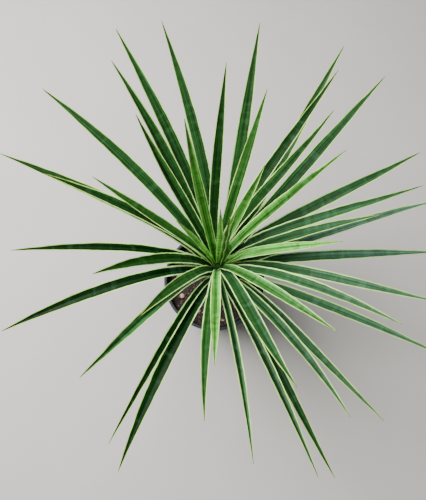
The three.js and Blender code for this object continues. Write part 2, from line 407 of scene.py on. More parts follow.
def fibre_group(name):
    """Fine lines that run the length of a blade and never quite repeat."""
    tree, start, end = new_group(
        name,
        [("Across", "NodeSocketFloat", 0.0),
         ("Along", "NodeSocketFloat", 0.0),
         ("Seed", "NodeSocketFloat", 0.0),
         ("Count", "NodeSocketFloat", 12.0)],
        [("Value", "NodeSocketFloat")],
    )
    x = times(tree, start.outputs["Across"], start.outputs["Count"])
    y = times(tree, start.outputs["Along"], 2.2)
    z = times(tree, start.outputs["Seed"], 37.0)
    value = grain(tree, stretched(tree, x, y, z), 1.0, 2.0, 0.5)
    plug(tree, end.inputs["Value"], value)
    return tree


# Settings

def colour_setting(name, description, colour):
    """A colour that a user can change."""
    return bpy.props.FloatVectorProperty(
        name=name, description=description, default=(*colour, 1.0),
        subtype="COLOR", size=4, min=0, max=1)


def size_setting(name, description, size):
    """A length that a user can change."""
    return bpy.props.FloatProperty(name=name, description=description, default=size, unit="LENGTH")


class YuccaLeafSettings(bpy.types.PropertyGroup):
    """Sizes and colours of the blades"""
    stations: bpy.props.IntProperty(
        name="Stations", description="Rings of points along each blade", default=92, min=24, max=200)
    old_margin: size_setting(
        "Old margin", "Width of the cream margin near the root of the oldest blades", 3.1 * MM)
    young_margin: size_setting(
        "Young margin", "Width of the pale margin near the root of the youngest blades", 1.3 * MM)
    tip_margin: size_setting("Margin at tip", "Width of the lime margin near the tip", 1.1 * MM)
    waviness: size_setting("Waviness", "How far the margins rise and fall", 0.9 * MM)
    tooth_relief: size_setting(
        "Tooth relief", "How far the fine teeth of a margin stand out", 0.22 * MM)
    spine_length: size_setting("Spine length", "Length of the hard brown point", 4 * MM)
    deep_colour: colour_setting(
        "Deep green", "Middle of the darkest blades", (0.0004, 0.0136, 0.00015))
    mature_colour: colour_setting(
        "Mature green", "Middle of the lightest of the older blades", (0.016, 0.071, 0.0145))
    young_colour: colour_setting(
        "Young green", "Middle of a blade of the last flush", (0.118, 0.43, 0.054))
    olive_colour: colour_setting(
        "Olive", "Darker middle stripe of a half-grown blade", (0.008, 0.049, 0.003))
    # The wax colour stands for the blue-green bloom and also for a painted sheen on flanks and tips
    wax_colour: colour_setting("Wax", "Blue-green bloom on a blade", (0.050, 0.114, 0.075))
    # Partly the cooler green of a clasping base, partly painted shade deep in the crown
    base_colour: colour_setting(
        "Base green", "Cooler green of a blade's clasping base", (0.018, 0.064, 0.031))
    cream_colour: colour_setting("Cream", "Margin near the stem", (0.62, 1.0, 0.34))
    lime_colour: colour_setting("Lime", "Margin towards the tip", (0.40, 0.60, 0.13))
    spine_colour: colour_setting("Spine", "The hard point of a blade", (0.115, 0.04, 0.0145))


class YuccaPotSettings(bpy.types.PropertyGroup):
    """Fineness and colours of the pot"""
    sides: bpy.props.IntProperty(
        name="Sides", description="Points round the pot", default=192, min=48, max=360)
    colour: colour_setting("Plastic", "Colour of the moulded plastic", (0.005, 0.009, 0.014))
    dust_colour: colour_setting(
        "Dust", "Colour of the dried splashes on the plastic", (0.0186, 0.0243, 0.033))


class YuccaSoilSettings(bpy.types.PropertyGroup):
    """Amounts and colours of the potting mix and of what lies on it"""
    chips: bpy.props.IntProperty(
        name="Chips", description="Pieces of bark on the mix", default=1500, min=0, max=4000)
    fibres: bpy.props.IntProperty(
        name="Fibres", description="Thin roots and straws on the mix", default=90, min=0, max=400)
    relief: size_setting("Relief", "Height of the crumbs of the mix", 2.6 * MM)
    colour: colour_setting("Mix", "Damp mix between the chips", (0.016, 0.008, 0.0057))
    # Colour of the painted shade in the hollows between the crumbs
    damp_colour: colour_setting(
        "Damp mix", "Darkest hollows between the crumbs", (0.007, 0.0043, 0.0029))
    bark_colour: colour_setting("Bark", "Reddish bark", (0.086, 0.041, 0.027))
    straw_colour: colour_setting("Straw", "Bleached chips and straws", (0.30, 0.22, 0.157))
    pebble_colour: colour_setting("Pebble", "The tan stone on the mix", (0.44, 0.30, 0.193))
    fleck_colour: colour_setting("Flecks", "Dark flecks in the tan stone", (0.18, 0.086, 0.05))


class YuccaStemSettings(bpy.types.PropertyGroup):
    """Scars and colours of the stem"""
    scar_step: size_setting(
        "Scar step", "Height from one row of leaf scars to the next", 9 * MM)
    colour: colour_setting("Stem", "Colour of the ringed stem", (0.157, 0.107, 0.057))
    crown_colour: colour_setting(
        "Crown", "Green top of the stem between the blades", (0.009, 0.061, 0.0145))


class YuccaStageSettings(bpy.types.PropertyGroup):
    """Floor, lights and surround"""
    floor_colour: colour_setting("Floor", "Colour of the plain floor", (0.44, 0.43, 0.41))
    sky_colour: colour_setting("Sky", "Colour of the pale surround", (0.95, 0.97, 1.0))
    key_power: bpy.props.FloatProperty(
        name="Key light", description="Power of the large soft light", default=168.0, unit="POWER")
    overhead_power: bpy.props.FloatProperty(
        name="Overhead light", description="Power of the broad light above",
        default=105.0, unit="POWER")
    sky_strength: bpy.props.FloatProperty(
        name="Surround", description="Strength of the light from the pale surround", default=0.224)
    backdrop: bpy.props.FloatProperty(
        name="Backdrop", description="Brightness of the surround behind the plant", default=0.62)


# Blades

# A ring of a packed blade has two points at each margin and two in the middle
RING_POINTS = 6
NARROWEST_RING = 1.0 * MM

# A blade clasps the stem over this share of its length, and its root sinks into the stem
CLASP_LENGTH = 0.10
ROOT_SINK = 1.6 * MM

# Half width near the root, as a share of the greatest: (place along the blade, share)
BASE_WIDTHS = (
    (0, 0.62), (0.04, 0.76), (0.12, 0.84), (0.25, 0.92), (0.35, 0.95), (0.45, 0.9), (0.55, 0),
)
MARGIN_SHARE = 0.28
EDGE_THICKNESS = 0.7 * MM
EDGE_BULGE = 0.3 * EDGE_THICKNESS
LEAST_HALF_WIDTH = 0.2 * MM
POINT_LENGTH = 0.8 * MM
SECTION_POINTS = 17

# The waves and the teeth of the margins die out over these lengths before the tip
WAVES_END = 60 * MM
TEETH_END = 30 * MM

# Directions in degrees from +X towards +Y: the side where the bloom and its painted sheen are
# thickest, the blades that point to the front, whose right flank gets more painted sheen, and where
# the far side begins
SHEEN_SIDE = -15
FRONT_FROM, FRONT_TO = -140, -45
FAR_SIDE = 18

# How each blade looks, by its number: how yellow-green it is, how deep its green is, how sharply
# it is folded along its middle, and how much lighter its right flank is painted than its left, as
# painted light and shade. The first three go from 0 to 1, with a depth below 0 for a waxier blade
# with more painted sheen
LOOKS = {
    1: (0.0, 0.75, 0.9, -0.15), 2: (0.0, -0.40, 0.3, 0.25), 3: (0.0, 1.00, 0.9, 0.00),
    4: (0.0, 0.65, 0.9, 0.35), 5: (0.0, 1.00, 0.6, 0.15), 6: (0.0, -1.00, 0.5, 0.10),
    7: (0.0, 0.40, 0.9, -0.30), 8: (0.0, 1.00, 0.9, -0.50), 9: (0.0, 0.75, 0.6, -0.10),
    10: (0.0, 0.00, 0.6, 0.15), 11: (0.0, 0.40, 0.6, 0.15), 12: (0.0, 0.38, 0.6, -0.20),
    13: (0.0, 0.25, 0.6, 0.00), 14: (0.0, 0.40, 0.6, 0.30), 15: (0.0, 0.10, 0.6, 0.15),
    16: (0.0, 1.00, 0.6, -0.10), 17: (0.0, 0.42, 0.3, 0.05), 18: (0.0, 0.45, 1.0, 0.40),
    19: (0.0, 0.12, 0.4, 0.40), 20: (0.0, 0.52, 0.9, 0.20), 21: (0.1, 0.22, 1.0, -0.10),
    22: (0.1, 0.32, 0.4, 0.25), 23: (0.0, 0.78, 0.6, -0.25), 24: (0.1, 0.25, 0.6, -0.15),
    25: (0.0, 0.42, 0.6, 0.05), 26: (0.0, 0.48, 0.6, -0.15), 27: (0.3, 0.50, 0.6, 0.15),
    28: (0.2, 0.78, 0.6, 0.20), 29: (0.2, 0.65, 0.6, -0.05), 30: (0.1, 0.42, 0.6, 0.00),
    31: (0.1, 0.85, 0.9, 0.00), 32: (0.1, 0.60, 0.6, -0.35), 33: (0.2, 0.50, 0.6, -0.10),
    34: (0.1, 0.58, 0.7, 0.00), 35: (0.2, 0.70, 0.9, 0.30), 36: (0.9, 0.00, 0.9, 0.15),
    37: (0.1, 0.75, 0.6, 0.15), 38: (0.7, 0.10, 0.6, 0.15), 39: (0.3, 0.60, 0.6, -0.25),
    40: (0.7, 0.55, 0.7, 0.30), 41: (0.5, 0.50, 0.6, 0.30), 42: (0.6, 0.35, 0.5, 0.00),
    43: (0.6, 0.30, 0.6, 0.00), 44: (0.8, 0.00, 0.6, 0.05), 45: (1.0, 0.00, 0.6, -0.10),
    46: (1.0, 0.00, 0.6, 0.30), 47: (0.7, 0.30, 0.6, 0.00), 48: (0.5, 0.65, 0.6, 0.40),
}


def blade_rings(name):
    """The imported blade's rings of points, from its root to its tip."""
    points = np.array([v.co for v in NODES[name].data.vertices])
    points = np.unique(points.round(6), axis=0)
    lowest = np.argsort(points[:, 2])
    ring, rest = points[lowest[:RING_POINTS]], points[lowest[RING_POINTS:]]
    rings = [ring]
    while len(rest):
        nearest = np.argsort(np.linalg.norm(rest - ring.mean(axis=0), axis=1))[:RING_POINTS]
        ring = rest[nearest]
        rest = np.delete(rest, nearest, axis=0)
        rings.append(ring)
    return rings


def blade_frame(name):
    """Middle line, sideways direction, half width, lift and thickness at each of a blade's rings."""
    rings = blade_rings(name)
    centres = np.array([ring.mean(axis=0) for ring in rings])
    ahead = unit(np.gradient(centres, axis=0))
    outward = centres[0] - np.array([STEM_X, 0, centres[0][2]])
    sideways = unit(np.cross([0, 0, 1.0], outward))
    rows = []
    for ring, centre, along in zip(rings, centres, ahead):
        order = np.argsort((ring - centre) @ sideways)
        left, middle, right = (ring[order[i:i + 2]] for i in (0, 2, 4))
        chord = right.mean(axis=0) - left.mean(axis=0)
        chord = chord - along * (chord @ along)
        half = np.linalg.norm(chord) / 2
        if half > NARROWEST_RING:
            sideways = chord / (2 * half)
        up = np.cross(along, sideways)
        edges = (left.mean(axis=0) + right.mean(axis=0)) / 2
        lift = (edges - middle.mean(axis=0)) @ up
        thickness = np.linalg.norm(middle[1] - middle[0])
        rows.append((middle.mean(axis=0), sideways, half, lift, thickness))
    return [np.array(column) for column in zip(*rows)]


def bloom_of(outward, depth):
    """How much waxy bloom and painted sheen lie on the left flank, on the right flank and towards the
    tip.
    """
    # The bloom is partly real wax and partly painted sheen: it grows on blades turned to the sheen
    # side, and on the right flank of blades that point to the front
    turn = math.degrees(math.atan2(outward[1], outward[0]))
    towards = max(0.0, math.cos(math.radians(turn - SHEEN_SIDE)))
    left = (0.12 + 0.5 * towards) * (1 - depth) ** 1.5
    if FRONT_FROM < turn < FRONT_TO:
        more = 0.45 * (1 - 0.6 * depth)
    elif turn < FAR_SIDE:
        more = 0.12
    else:
        more = 0.04
    return left, left + more, 0.2 + 0.8 * towards


class Blade:
    """A packed blade read at many places from its root to its tip."""

    def __init__(self, name, stations):
        middle, sideways, half, lift, thickness = blade_frame(name)
        steps = np.linalg.norm(np.diff(middle, axis=0), axis=1)
        self.length = steps.sum()
        knots = np.concatenate([[0], np.cumsum(steps)]) / self.length

        # The places lie a little closer near the two ends
        places = np.linspace(0, 1, stations)
        self.places = 0.85 * places + 0.15 * (1 - np.cos(np.pi * places)) / 2
        self.run = self.places * self.length
        self.to_tip = (1 - self.places) * self.length

        self.centre = smooth_through(knots, middle, self.places)
        self.ahead = unit(np.gradient(self.centre, axis=0))
        across = smooth_through(knots, sideways, self.places)
        slanting = (across * self.ahead).sum(axis=1, keepdims=True)
        self.across = unit(across - self.ahead * slanting)
        self.up = np.cross(self.ahead, self.across)
        self.half = np.maximum(smooth_through(knots, half, self.places), LEAST_HALF_WIDTH)
        self.lift = smooth_through(knots, lift, self.places)
        self.thick = smooth_through(knots, thickness, self.places)
        self.outward = middle[0] - np.array([STEM_X, 0, middle[0][2]])

    def clasp_stem(self):
        """Widens the root and closes it round the stem."""
        girth = np.linalg.norm(self.outward)
        self.clasp = np.clip(1 - self.places / CLASP_LENGTH, 0, 1) ** 2
        broad = self.half.max() * np.interp(self.places, *zip(*BASE_WIDTHS))
        spread = np.maximum(self.half, broad)
        lift = self.lift * spread / self.half
        round_stem = np.minimum(spread ** 2 / (2 * girth), spread)
        self.half = spread
        self.lift = lift * (1 - self.clasp) + self.clasp * round_stem
        sunk = np.clip(1 - self.places / (0.5 * CLASP_LENGTH), 0, 1)
        self.centre = self.centre - unit(self.outward) * (ROOT_SINK * sunk)[:, None]

    def close_tip(self, spine_length):
        """Closes the last few millimetres to a hard round point."""
        spine = np.clip(self.to_tip / spine_length, 0, 1)
        point = np.where(spine < 1, (0.25 + 0.95 * spine ** 0.8) * MM, np.inf)
        self.half = np.minimum(self.half, point)
        self.thick = np.minimum(self.thick, 2 * self.half)

    def fold(self, crease):
        """Folds the blade along its middle, and more so towards its tip."""
        late = np.clip((self.places - 0.5) / 0.45, 0, 1)
        late = late * late * (3 - 2 * late)
        self.lift = self.lift * (0.85 + 0.5 * crease) * (1 + 0.9 * late)
        self.sharpness = crease * (1 - self.clasp)

    def margin_widths(self, age, settings):
        """Widths of the pale margin: broad cream on older blades, narrow green on the last ones."""
        broadening = (settings.old_margin - settings.young_margin) * min(1.0, 1.6 * age)
        near_root = settings.young_margin + broadening
        widths = (0.5 * near_root, near_root, 0.75 * near_root, settings.tip_margin)
        width = np.interp(self.places, (0.02, 0.12, 0.4, 0.95), widths)
        return np.minimum(width, MARGIN_SHARE * self.half)

    def wave(self, chance, waviness):
        """How far one margin rises and falls."""
        calm = np.clip(self.places / 0.15, 0, 1) * np.clip(self.to_tip / WAVES_END, 0, 1)
        phase = chance.uniform(0, 6.3)
        short = chance.uniform(28, 46) * MM
        long = chance.uniform(60, 110) * MM
        swell = np.sin(phase + 2 * np.pi * self.run / long)
        ripple = np.sin(2 * phase + 2 * np.pi * self.run / short)
        return waviness * calm * (swell + 0.45 * ripple)

    def teeth(self, chance, relief):
        """How far the fine teeth of one margin stand out."""
        calm = np.clip(self.to_tip / TEETH_END, 0, 1)
        return relief * calm * np.array([chance.uniform(-1, 1) for _ in self.places])

    def line(self, u, face, wave, tooth):
        """The points at one place of the cross section, from root to tip."""
        bow = self.sharpness * abs(u) + (1 - self.sharpness) * u * u
        rise = self.lift * bow + wave * u * u
        rim = np.minimum(EDGE_THICKNESS, self.thick)
        body = rim + (self.thick - rim) * (1 - u * u) ** 0.7
        reach = self.half * u
        if abs(u) > 0.999:
            bulge = EDGE_BULGE if face == 0 else 0.0
            reach = reach + np.sign(u) * (tooth + bulge)
        height = rise + 0.5 * face * body
        return self.centre + self.across * reach[:, None] + self.up * height[:, None]

    def three(self, *values):
        """Three numbers for each place, where one number alone serves for all places."""
        return np.stack([np.broadcast_to(value, self.places.shape) for value in values], axis=1)


def cross_section():
    """Places round a blade: how far across, from -1 to 1, and 1 above, 0 at an edge or -1 below."""
    reach = np.sin(np.linspace(-np.pi / 2, np.pi / 2, SECTION_POINTS))
    top = [(u, 1) for u in reach]
    under = [(u, -1) for u in reach[::-1]]
    return [(-1.0, 0)] + top + [(1.0, 0)] + under


def lofted(columns, start, end):
    """Rows of three numbers, ring after ring, and then one for the middle of each end."""
    return np.vstack([np.stack(columns, axis=1).reshape(-1, 3), start, end])


def make_blade(name, settings):
    """A finer channelled blade in the place of a packed one, with toothed, waved margins."""
    number = int(name.split("_")[1])
    chance = random.Random(number)
    youth, depth, crease, slant = LOOKS[number]
    age = 1 - number / len(LEAVES)
    blade = Blade(name, settings.stations)
    blade.clasp_stem()
    blade.close_tip(settings.spine_length)
    blade.fold(crease)
    margin = blade.margin_widths(age, settings)
    waves = [blade.wave(chance, settings.waviness) for _ in range(2)]
    teeth = [blade.teeth(chance, settings.tooth_relief) for _ in range(2)]

    lines, lies, ends, ages = [], [], [], []
    for u, face in cross_section():
        side = 0 if u < 0 else 1
        lines.append(blade.line(u, face, waves[side], teeth[side]))
        lies.append(blade.three(u, blade.places, (1 - abs(u)) * blade.half / MM))
        ends.append(blade.three(blade.to_tip / MM, blade.run / MM, (1 - face) / 2))
        ages.append(blade.three(age, margin / MM, slant))
    points = lofted(lines, blade.centre[0], blade.centre[-1] + blade.ahead[-1] * POINT_LENGTH)
    faces = turned_round(capped_faces(len(blade.places), len(lines)))

    piece = mesh_object(name.replace("leaf", "blade"), points, faces)
    full = blade.length / MM
    store(piece, "blade", lofted(lies, (0, 0, 5), (0, 1, 0)))
    store(piece, "ends", lofted(ends, (full, 0, 0), (0, full, 0)))
    store(piece, "age", lofted(ages, (age, 1, slant), (age, 1, slant)))
    store(piece, "tone", [(youth, depth, chance.random())] * len(points))
    store(piece, "bloom_and_sheen", [bloom_of(blade.outward, depth)] * len(points))
    return piece


class BladeReadings:
    """What the material of a blade reads at each point, kept there by make_blade."""

    def __init__(self, tree):
        self.across, self.along, self.edge = parts_of(tree, "blade")
        self.to_tip, self.run, self.hidden = parts_of(tree, "ends")
        self.age, self.rim, self.slant = parts_of(tree, "age")
        self.youth, self.depth, self.seed = parts_of(tree, "tone")
        self.off_middle = maths(tree, "ABSOLUTE", self.across)
        fibres = {"Across": self.across, "Along": self.along, "Seed": self.seed}
        self.fine = use_group(tree, fibre_group, {**fibres, "Count": 16.0})["Value"]
        self.broad = use_group(tree, fibre_group, {**fibres, "Count": 5.0})["Value"]
        flat, far = times(tree, self.across, 0.32), times(tree, self.run, 0.085)
        self.bands = grain(tree, stretched(tree, flat, far, self.seed), 1.0, 2.0)


def middle_green(tree, at, settings):
    """The middle of a blade: deeper on some, with an olive stripe while it is young."""
    green = blend(tree, at.depth, settings.mature_colour, settings.deep_colour)
    ripe = between(tree, at.depth, 0.0, 1.0)
    young = blend(tree, ripe, settings.young_colour, settings.olive_colour)
    green = blend(tree, between(tree, at.youth, 0.0, 1.0), green, young)
    stripe = between(tree, at.off_middle, 0.15, 0.7, 1.0, 0.0)
    stripe = times(tree, stripe, between(tree, at.youth, 0.1, 0.6))
    stripe = times(tree, stripe, between(tree, at.youth, 0.7, 0.9, 0.55, 0.15))
    green = blend(tree, stripe, green, settings.olive_colour)

    # The youngest blades have some cream in their green, and a clasping base is cooler and darker,
    # partly its own green and partly painted shade deep in the crown
    washed = between(tree, at.youth, 0.9, 1.0, 0.0, 0.25)
    green = blend(tree, washed, green, settings.cream_colour)
    # Painted shade of the crown, mixed with the base's own cooler green
    base_shade = between(tree, at.along, 0.03, 0.30, 0.6, 0.0)
    base_shade = times(tree, base_shade, between(tree, at.youth, 0.6, 1.0, 1.0, 0.3))
    return blend(tree, base_shade, green, settings.base_colour)


def two_flanks(tree, at, green, settings):
    """Waxy bloom with painted sheen, thicker on one flank and towards the tip, and one flank painted
    lighter than the other, as painted light and shade.
    """
    left, right, tip = parts_of(tree, "bloom_and_sheen")
    side = between(tree, at.across, -0.05, 0.20)
    bloom_and_sheen = add(tree, "ShaderNodeMix", {0: side, 2: left, 3: right}).outputs[0]
    bloom_and_sheen = times(tree, bloom_and_sheen, between(tree, at.along, 0.3, 0.95, 0.35, tip))
    thin = between(tree, at.youth, 0.0, 1.0, 1.0, 0.35)
    bloom_and_sheen = maths(tree, "MULTIPLY", bloom_and_sheen, thin, True)
    # Mixing towards the wax colour paints the bloom together with a painted sheen
    green = blend(tree, bloom_and_sheen, green, settings.wax_colour)
    # Painted light and shade: one flank is made lighter and the other darker by the blade's painted
    # flank light
    turned = maths(tree, "SUBTRACT", times(tree, side, 2.0), 1.0)
    gain = maths(tree, "ADD", times(tree, turned, at.slant), 1.0)
    return shaded(tree, green, gain), bloom_and_sheen


def lines_and_bands(tree, at, green, bloom_and_sheen, settings):
    """Streaks along a blade, a darker channel and cross bands."""
    streaks = times(tree, between(tree, at.fine, 0.3, 0.7, 0.80, 1.22),
                    between(tree, at.broad, 0.32, 0.68, 0.55, 1.48))
    channel = between(tree, at.off_middle, 0.0, 0.6, 0.85, 1.1)
    green = shaded(tree, green, times(tree, streaks, channel))

    # The bands come in stretches, and are strongest on young blades
    stretch = grain(tree, stretched(tree, at.seed, times(tree, at.run, 0.012), 5.0), 1.0, 1.0)
    strength = times(tree, between(tree, at.youth, 0.0, 1.0, 0.6, 1.25),
                     between(tree, stretch, 0.42, 0.62, 0.5, 1.5))
    banded = times(tree, between(tree, at.bands, 0.35, 0.65, -0.2, 0.27), strength)
    green = shaded(tree, green, maths(tree, "ADD", banded, 1.0))
    bars = times(tree, between(tree, at.bands, 0.52, 0.66, 0.0, 0.3), strength)
    # The pale bars are strongest where the painted sheen of the bloom is
    bars = times(tree, bars, between(tree, bloom_and_sheen, 0.0, 0.4, 0.5, 1.3))
    return blend(tree, bars, green, settings.wax_colour)


def with_margin(tree, at, green, settings):
    """The pale margin, whose inner border wanders a little and fades through yellow-green."""
    place = stretched(tree, at.across, times(tree, at.along, 26.0), at.seed)
    wander = between(tree, grain(tree, place, 1.0), 0.3, 0.7, 0.82, 1.18)
    share = maths(tree, "DIVIDE", at.edge, times(tree, at.rim, wander))
    limed = maths(tree, "MAXIMUM", between(tree, at.along, 0.2, 0.9),
                  between(tree, at.age, 0.0, 0.35, 0.8, 0.0))
    margin = blend(tree, limed, settings.cream_colour, settings.lime_colour)
    margin = blend(tree, between(tree, at.age, 0.0, 0.12, 0.25, 0.0), margin, green)
    passage = blend(tree, 0.3, green, margin)
    colour = blend(tree, between(tree, share, 0.8, 1.6, 1.0, 0.0), green, passage)
    return blend(tree, between(tree, share, 0.65, 1.0, 1.0, 0.0), colour, margin)


def back_and_ends(tree, at, colour, settings):
    """The paler back of a blade, the blanched root of an old one and the brown point."""
    pale = blend(tree, 0.35, colour, settings.wax_colour)
    colour = blend(tree, times(tree, at.hidden, 0.6), colour, pale)
    blanched = times(tree, between(tree, at.run, 4.0, 26.0, 0.6, 0.0),
                     between(tree, at.age, 0.3, 0.6))
    colour = blend(tree, blanched, colour, settings.cream_colour)
    point = between(tree, at.to_tip, 1.0, 3.5, 0.9, 0.0)
    return blend(tree, point, colour, settings.spine_colour)


def blade_material(name, settings):
    """Green, fibrous leaf with a cream to lime margin and a brown point."""
    material, tree = new_material(name)
    at = BladeReadings(tree)
    green = middle_green(tree, at, settings)
    green, bloom_and_sheen = two_flanks(tree, at, green, settings)
    green = lines_and_bands(tree, at, green, bloom_and_sheen, settings)
    colour = with_margin(tree, at, green, settings)
    colour = back_and_ends(tree, at, colour, settings)

    rough = between(tree, at.broad, 0.3, 0.7, 0.36, 0.48)
    rough = maths(tree, "ADD", rough, times(tree, at.hidden, 0.12), True)
    relief = maths(tree, "ADD", at.fine, times(tree, at.bands, 0.3))
    finish_surface(tree, colour, rough, bump(tree, relief, 0.35, 0.5 * MM), specular=0.06)
    return material


class YUCCA_OT_blades(bpy.types.Operator):
    """Lofts a fine blade in the place of each packed leaf"""
    bl_idname = "yucca.blades"
    bl_label = "Blades"

    def execute(self, context):
        settings = context.scene.yucca_leaves
        finishes = {slot: blade_material(slot.replace("_", " ") + " blade", settings)
                    for slot in ("leaf", "young_leaf")}
        for name in LEAVES:
            slot = SLOT_OF[name]
            dress(make_blade(name, settings), finishes[slot], slot, name)
        return {"FINISHED"}


# Stem

CROWN_START = 310 * MM
CROWN_TOP = 405 * MM
CROWN_RADIUS = 6 * MM
STEM_SIDES = 96
STEM_STEP = 1.5 * MM
STEM_POINT = 4 * MM
BURIED_DEPTH = 6 * MM


def stem_radius(height):
    """Radius of the stem, which tapers where the blades spring from it."""
    share = min(1.0, max(0.0, (height - CROWN_START) / (CROWN_TOP - CROWN_START)))
    return STEM_RADIUS + (CROWN_RADIUS - STEM_RADIUS) * share


def make_stem(settings):
    """A short stem wrapped in rows of crescent leaf scars."""
    low, high = STEM_LOW.z, STEM_HIGH.z
    heights = np.arange(low, high - STEM_POINT, STEM_STEP)
    points, tones = [], []
    for height in heights:
        for i in range(STEM_SIDES):
            turn = 2 * math.pi * i / STEM_SIDES
            climb = (height / settings.scar_step + 1.5 * turn / math.pi) % 1.0
            ledge = max(0.0, 1 - climb / 0.75)
            if height < SOIL_HIGH.z - BURIED_DEPTH:
                ledge = 0.4
            rough = noise.noise(Vector((9 * math.cos(turn), 9 * math.sin(turn), height * 260)))
            r = stem_radius(height) - (0.2 + 1.0 * (1 - ledge) - 0.35 * rough) * MM
            points.append((STEM_X + r * math.cos(turn), r * math.sin(turn), height))
            tones.append((ledge, rough * 0.5 + 0.5, height / MM))
    points += [(STEM_X, 0, low), (STEM_X, 0, high)]
    tones += [(0, 0, low / MM), (0, 0, high / MM)]
    piece = mesh_object("ringed_stem", points, capped_faces(len(heights), STEM_SIDES))
    store(piece, "scar", tones)
    return piece


def stem_material(settings):
    """Dry brown bark, painted darker in the grooves under the scars as painted shade, green between the
    blades.
    """
    material, tree = new_material("ringed stem")
    ledge, _, height = parts_of(tree, "scar")
    colour = mottled(tree, settings.colour, 90.0, 0.45)
    # Painted shade: the grooves under the scars are made darker
    colour = shaded(tree, colour, between(tree, ledge, 0.0, 0.5, 0.35, 1.15))
    green = between(tree, height, 300.0, 345.0, 0.0, 0.95)
    colour = blend(tree, green, colour, settings.crown_colour)
    place = add(tree, "ShaderNodeSeparateXYZ", {"Vector": place_in_piece(tree)}).outputs
    upright = [times(tree, part, scale) for part, scale in zip(place, (900.0, 900.0, 120.0))]
    fibres = grain(tree, stretched(tree, *upright), 1.0)
    finish_surface(tree, colour, 0.78, bump(tree, fibres, 0.5, 0.6 * MM))
    return material


class YUCCA_OT_stem(bpy.types.Operator):
    """Turns the ringed stem"""
    bl_idname = "yucca.stem"
    bl_label = "Stem"

    def execute(self, context):
        settings = context.scene.yucca_stem
        dress(make_stem(settings), stem_material(settings), "stem", "stem")
        return {"FINISHED"}


# Pot

POT_FOOT_RADIUS = 110 * MM
POT_WALL = 2.2 * MM
POT_FLOOR = 3 * MM
FOOT_BEVEL = 3 * MM
EDGE_ROUNDING = 1.0 * MM
LIP_WIDTH = 8 * MM
LIP_DROP = 13 * MM
LIP_THICKNESS = 1.8 * MM
DRAIN_NOTCHES = 8
DRAIN_RADIUS = 8 * MM
DRAIN_HEIGHT = 10 * MM
DRAIN_SIDES = 24
SHARP_EDGE = math.radians(40)

# Rings of points on the wall, as shares of the pot's height
WALL_RINGS = (0.12, 0.3, 0.5, 0.7, 0.88)


def wall_radius(height):
    """Outer radius of the pot's leaning wall."""
    top = POT_RIM_RADIUS - LIP_WIDTH + POT_WALL
    return POT_FOOT_RADIUS + (top - POT_FOOT_RADIUS) * height / POT_HEIGHT


def notch_cutter():
    """Short bars round the foot of the pot, in one mesh, where the drain notches go."""
    outline = [(0, -DRAIN_HEIGHT), (DRAIN_RADIUS, -DRAIN_HEIGHT),
               (DRAIN_RADIUS, DRAIN_HEIGHT), (0, DRAIN_HEIGHT)]
    bar, bar_faces = turned_shell(outline, DRAIN_SIDES)
    points, faces = [], []
    for i in range(DRAIN_NOTCHES):
        turn = (i + 0.5) / DRAIN_NOTCHES * 2 * math.pi
        spot = Vector((POT_FOOT_RADIUS * math.cos(turn), POT_FOOT_RADIUS * math.sin(turn), 0))
        join(points, faces, [Vector(p) + spot for p in bar], bar_faces)
    return mesh_object("notch_cutter", points, faces)


def make_pot(settings):
    """A thin moulded pot with a folded lip and drain notches."""
    inside = POT_RIM_RADIUS - LIP_THICKNESS
    under_lip = POT_HEIGHT - LIP_THICKNESS
    lip_low = POT_HEIGHT - LIP_DROP
    heights = [share * POT_HEIGHT for share in WALL_RINGS]
    corners = [(0, 0), (POT_FOOT_RADIUS - FOOT_BEVEL, 0), (wall_radius(FOOT_BEVEL), FOOT_BEVEL)]
    corners += [(wall_radius(height), height) for height in heights]
    corners += [
        (wall_radius(under_lip), under_lip),
        (inside, under_lip),
        (inside, lip_low),
        (POT_RIM_RADIUS, lip_low),
        (POT_RIM_RADIUS, POT_HEIGHT),
        (wall_radius(POT_HEIGHT) - POT_WALL, POT_HEIGHT),
    ]
    corners += [(wall_radius(height) - POT_WALL, height) for height in reversed(heights)]
    corners += [(wall_radius(POT_FLOOR) - POT_WALL, POT_FLOOR), (0, POT_FLOOR)]
    points, faces = turned_shell(rounded(corners, EDGE_ROUNDING), settings.sides)
    pot = mesh_object("nursery_pot", points, faces)

    cutter = notch_cutter()
    cut = pot.modifiers.new("drain notches", "BOOLEAN")
    cut.object = cutter
    cut.operation = "DIFFERENCE"
    cut.solver = "EXACT"
    whole = bpy.context.evaluated_depsgraph_get()
    carved = bpy.data.meshes.new_from_object(pot.evaluated_get(whole))
    pot.modifiers.clear()
    pot.data = carved
    bpy.data.objects.remove(cutter)
    pot.data.shade_smooth()
    pot.data.set_sharp_from_angle(angle=SHARP_EDGE)
    return pot


def pot_material(settings):
    """Satin black plastic with scuffs, flow marks and dried splashes."""
    material, tree = new_material("moulded plastic")
    place = place_in_piece(tree)
    dusty = use_group(tree, dust_group, {
        "Colour": mottled(tree, settings.colour, 26.0, 0.25),
        "Roughness": 0.38,
        "Dust Colour": settings.dust_colour,
        "Vector": place,
        "Scale": 34.0,
        "Amount": 0.5,
    })
    scuff = grain(tree, place, 900.0, 2.0)
    ripple = grain(tree, place, 45.0, 2.0)
    height = maths(tree, "ADD", times(tree, scuff, 0.25), ripple)
    relief = bump(tree, height, 0.3, 0.4 * MM)
    finish_surface(tree, dusty["Colour"], dusty["Roughness"], relief, specular=0.25)
    return material


class YUCCA_OT_pot(bpy.types.Operator):
    """Turns the moulded pot and cuts its drain notches"""
    bl_idname = "yucca.pot"
    bl_label = "Pot"

    def execute(self, context):
        settings = context.scene.yucca_pot
        dress(make_pot(settings), pot_material(settings), "pot", "pot")
        return {"FINISHED"}


# Potting mix

